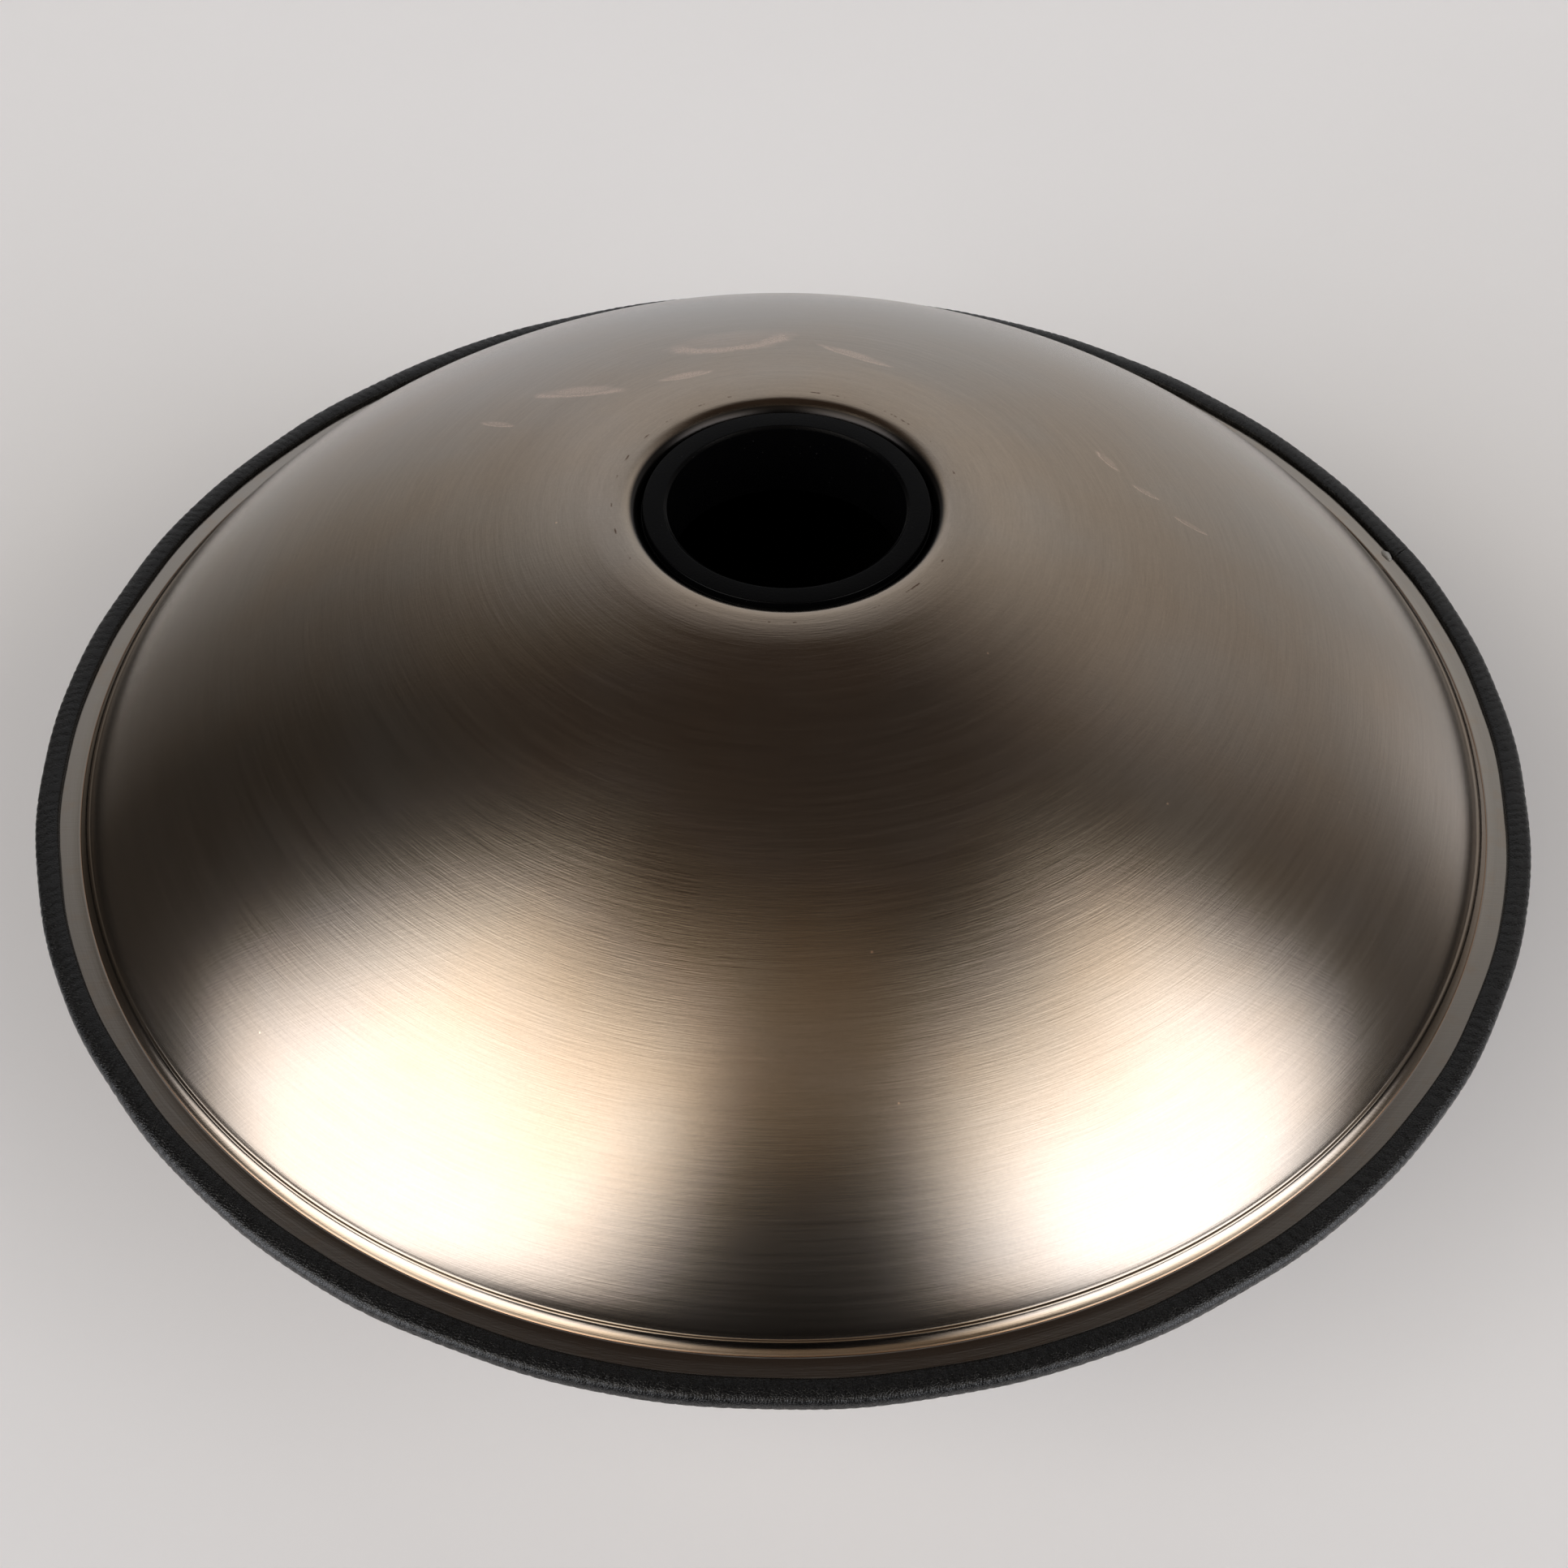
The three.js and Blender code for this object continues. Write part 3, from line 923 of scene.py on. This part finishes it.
def ring_points(radius, height):
    """A ring of points round the axis, in metres."""
    turn = np.linspace(0, 2 * math.pi, STUDIO_SPOKES, endpoint=False)
    x, y = radius * np.cos(turn), radius * np.sin(turn)
    return np.column_stack([x, y, np.full(STUDIO_SPOKES, height)])


def ring_faces():
    """Faces between two rings of points."""
    faces = []
    for i in range(STUDIO_SPOKES):
        j = (i + 1) % STUDIO_SPOKES
        faces.append((i, j, STUDIO_SPOKES + j, STUDIO_SPOKES + i))
    return faces


def studio():
    """A pale floor. Beyond its lit middle, only the camera sees the floor and the wall."""
    middle = make_object("studio_floor", ring_points(FLOOR_R, 0), [tuple(range(STUDIO_SPOKES))])
    far_points = np.vstack([ring_points(WALL_R, 0), ring_points(FLOOR_R, 0)])
    far = make_object("studio_far_floor", far_points, ring_faces())
    wall_points = np.vstack([ring_points(WALL_R, 0), ring_points(WALL_R, WALL_HEIGHT)])
    wall = make_object("studio_wall", wall_points, ring_faces())
    pale = pale_material("pale_floor", (0.70, 0.695, 0.70), (0.72, 0.715, 0.72))
    glowing = pale_material("pale_wall", (0, 0, 0), (0, 0, 0), glow=0.62)
    middle.data.materials.append(pale)
    far.data.materials.append(pale)
    wall.data.materials.append(glowing)
    for unseen in far, wall:
        unseen.visible_diffuse = False
        unseen.visible_glossy = False
        unseen.visible_shadow = False


# The room's light below the ceiling, by direction round the handpan in degrees from +X.
ROOM_GLOW = [
    (-180, (0.035, 0.032, 0.03)),
    (-160, (0.0, 0.0, 0.0)),
    (-20, (0.0, 0.0, 0.0)),
    (6, (0.09, 0.08, 0.07)),
    (16, (0.18, 0.165, 0.15)),
    (32, (0.48, 0.455, 0.44)),
    (60, (0.64, 0.63, 0.62)),
    (90, (0.63, 0.635, 0.65)),
    (108, (0.64, 0.64, 0.66)),
    (122, (0.48, 0.47, 0.46)),
    (137, (0.20, 0.185, 0.17)),
    (152, (0.05, 0.045, 0.04)),
    (180, (0.035, 0.032, 0.03)),
]
CEILING = (0.045, 0.033, 0.026)
CEILING_FADE = (34, 68)  # the ceiling takes over between these elevations

# Soft windows of light, in degrees: azimuth, how far it leans per degree of height, half
# width at the floor and higher up, soft edge, and where the top fades out. Then the glow.
SOFT_WINDOWS = [
    (-149.5, 0.23, (16.5, 29), 12, (36, 70), 4.6),
    (-34, 0.0, (15.5, 26), 12, (30, 62), 4.7),
    (32, 0.0, (8, 8), 9, (-4, 10), 0.3),
]
GOLDEN_GLOW = (-92, 0.0, (34, 34), 26, (62, 80), 0.22)
GOLDEN_RISE = (38, 54)  # it comes in between these elevations
WINDOW_FLARE = (-4.0, 20.0)  # a window widens between these elevations
WINDOW_TINT = (20, 52)  # and turns from cool to warm between these
COOL_TINT = (0.98, 1.0, 1.06, 1)
WARM_TINT = (1.07, 0.99, 0.88, 1)
GOLDEN_TINT = (1.25, 0.96, 0.66, 1)


def soft_window(s, x, y, elevation, azimuth, lean, widths, edge, top, glow):
    """One soft window of light as seen from the handpan, angles in degrees."""
    a = math.radians(azimuth)
    forward = s.add(s.times(x, math.cos(a)), s.times(y, math.sin(a)))
    sideways = s.add(s.times(y, math.cos(a)), s.times(x, -math.sin(a)))
    turn = s.times(s.math("ARCTAN2", sideways, forward), 180 / math.pi)
    away = s.math("ABSOLUTE", s.math("SUBTRACT", turn, s.times(elevation, lean)))
    half = s.step(elevation, *WINDOW_FLARE, *widths)
    across = s.step(s.math("SUBTRACT", away, half), edge, -edge)
    return s.times(across, s.step(elevation, top[1], top[0]), glow)


def studio_world():
    """Two soft windows in front with a golden glow between them, a pale glow behind, a
    dim ceiling."""
    world = bpy.data.worlds.new("studio")
    bpy.context.scene.world = world
    world.use_nodes = True
    s = Shader(world.node_tree)
    way = s.node("TexCoord").outputs["Generated"]
    x, y, z = s.node("SeparateXYZ", {0: way}).outputs
    elevation = s.times(s.math("ARCSINE", z), 180 / math.pi)
    turn = s.add(s.times(s.math("ARCTAN2", y, x), 0.5 / math.pi), 0.5)
    low = s.ramp(turn, [(degrees / 360 + 0.5, color) for degrees, color in ROOM_GLOW])
    color = s.mix(s.step(elevation, *CEILING_FADE), low, (*CEILING, 1))
    windows = [soft_window(s, x, y, elevation, *window) for window in SOFT_WINDOWS]
    tint = s.mix(s.step(elevation, *WINDOW_TINT), COOL_TINT, WARM_TINT)
    golden = soft_window(s, x, y, elevation, *GOLDEN_GLOW)
    golden = s.times(golden, s.step(elevation, *GOLDEN_RISE))
    for light, shade in [(s.add(*windows), tint), (golden, GOLDEN_TINT)]:
        lit = s.node("VectorMath", {0: shade, 3: light}, operation="SCALE").outputs[0]
        color = s.node("VectorMath", {0: color, 1: lit}, operation="ADD").outputs[0]
    background = s.node("Background", {"Color": color, "Strength": 1.0})
    s.node("OutputWorld", {"Surface": background.outputs[0]})


# The camera stands in front and looks down, its place in radii of the rim.
CAMERA_BACK = 2.2213
CAMERA_UP = 2.3511
CAMERA_DOWNWARD = 47.75
CAMERA_ROLL = 0.55
LENS = 54.24
SENSOR = 36


def make_camera():
    """Looks down at the port side, with a slight roll."""
    rim = TRIM_R * MM
    data = bpy.data.cameras.new("camera")
    data.sensor_width = SENSOR
    data.lens = LENS
    camera = bpy.data.objects.new("camera", data)
    bpy.context.scene.collection.objects.link(camera)
    place = Vector((0, -CAMERA_BACK * rim, SEAM_Z + CAMERA_UP * rim))
    pitch = math.radians(90 - CAMERA_DOWNWARD)
    roll = math.radians(CAMERA_ROLL)
    turn = Matrix.Rotation(pitch, 4, "X") @ Matrix.Rotation(roll, 4, "Z")
    camera.matrix_world = Matrix.Translation(place) @ turn
    bpy.context.scene.camera = camera


# -------------------------------------------------------------------------- build

make_camera()
# the shells' inside: furnace scale, painted darker as the shade inside the closed shells
scale = scale_and_painted_shade("furnace_scale_and_painted_shade")
gu_steel = brushed_steel("brushed_gu_steel", smears=True)
ding_steel = brushed_steel("brushed_ding_steel")
# the trim's rubber, with painted shade in its rib creases and painted light on their crowns
grain_and_rib_shade = grained_rubber_with_rib_shade("leather_grain_and_rib_shade")
rolled_strip = strip_steel("rolled_strip")
port_rubber = smooth_rubber("port_rubber")
grey_adhesive = cured_adhesive(
    "grey_adhesive",
    dark=(0.13, 0.128, 0.12),
    light=(0.2, 0.19, 0.18),
    roughness=0.7,
    lump_scale=0.5,
)
clear_glue = cured_adhesive(
    "clear_glue",
    dark=(0.22, 0.22, 0.21),
    light=(0.34, 0.33, 0.32),
    roughness=0.25,
    lump_scale=0.8,
)
finish_piece(gu_shell(), [gu_steel, scale], "handpan", "gu_shell")
finish_piece(ding_shell(), [ding_steel, scale], "handpan", "ding_shell")
finish_piece(edge_trim(), [grain_and_rib_shade], "handpan", "edge_trim")
finish_piece(trim_core(), [rolled_strip], "handpan", "trim_core")
finish_piece(rim_adhesive(), [grey_adhesive], "handpan", "rim_adhesive")
finish_piece(joint_glue(), [clear_glue], "handpan", "joint_glue")
finish_piece(port_ring(), [port_rubber], "port_ring", "port_ring")
studio()
studio_world()
bpy.context.scene.view_settings.view_transform = "Standard"
